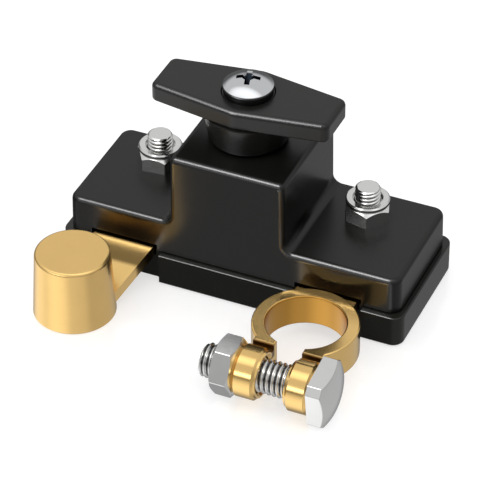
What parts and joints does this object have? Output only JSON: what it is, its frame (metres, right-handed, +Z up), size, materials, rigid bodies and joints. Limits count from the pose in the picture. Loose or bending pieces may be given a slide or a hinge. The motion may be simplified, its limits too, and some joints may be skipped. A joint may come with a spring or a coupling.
{
  "type": "battery cut-off switch",
  "caption": "Battery cut-off switch with a turning handle on a T-shaped housing, a brass post, a split brass clamp with its bolt, and threaded studs with nuts",
  "frame": {"origin": "centre of the housing's flat underside, where the tray rests on the battery top", "axes": "X runs along the housing from the post side to the clamp side, Y runs from the two terminals to the plain back, Z is up along the handle's turning axis"},
  "size_m": [0.0854, 0.0693, 0.052],
  "materials": {
    "housing_plastic": "moulded black, soft gloss",
    "handle_plastic": "moulded black, satin",
    "inner_plastic": "moulded dark grey",
    "brass": "satin cast brass",
    "zinc_steel": "bright zinc plate",
    "bright_screw": "polished chrome plate",
    "black_washer": "black nylon",
    "copper": "bare copper bar",
    "silver_contact": "silver contact face",
    "spring_steel": "drawn spring wire",
    "rubber": "black rubber"
  },
  "bodies": {
    "housing": {"upper_housing": "housing_plastic", "base_tray": "housing_plastic", "post_terminal": "brass", "clamp_terminal": "brass", "fixed_tips": "silver_contact", "left_stud": "zinc_steel", "right_stud": "zinc_steel", "clamp_bolt": "zinc_steel", "housing_screws": "zinc_steel", "return_spring": "spring_steel"},
    "knob": {"handle": "handle_plastic", "handle_washer": "black_washer", "handle_screw": "bright_screw", "rotor": "inner_plastic", "rotor_seal": "rubber"},
    "carrier": {"contact_carrier": "inner_plastic", "contact_bridge": "copper", "bridge_rivet": "brass", "moving_tips": "silver_contact"},
    "left_nut": {"left_stud_nut": "zinc_steel"},
    "right_nut": {"right_stud_nut": "zinc_steel"},
    "bolt_nut": {"clamp_nut": "zinc_steel"}
  },
  "joints": [
    {"name": "handle_turn", "type": "hinge", "parent": "housing", "child": "knob", "pos_m": [-0.0021, 0, 0.0361], "axis": [0, 0, 1], "range_deg": [0, 90]},
    {"name": "bridge_lift", "type": "slide", "parent": "housing", "child": "carrier", "axis": [0, 0, 1], "range_m": [0, 0.003], "deforming": ["return_spring"]},
    {"name": "left_nut_turn", "type": "hinge", "parent": "housing", "child": "left_nut", "pos_m": [-0.0273, 0.00575, 0.0173], "axis": [0, 0, 1], "continuous": true},
    {"name": "right_nut_turn", "type": "hinge", "parent": "housing", "child": "right_nut", "pos_m": [0.0253, 0.00575, 0.0173], "axis": [0, 0, 1], "continuous": true},
    {"name": "bolt_nut_turn", "type": "hinge", "parent": "housing", "child": "bolt_nut", "pos_m": [0.01295, -0.04525, 0.007], "axis": [1, 0, 0], "continuous": true}
  ],
  "couplings": [
    {"joint": "bridge_lift", "follows": "handle_turn", "m_per_rad": 0.0019099}
  ]
}
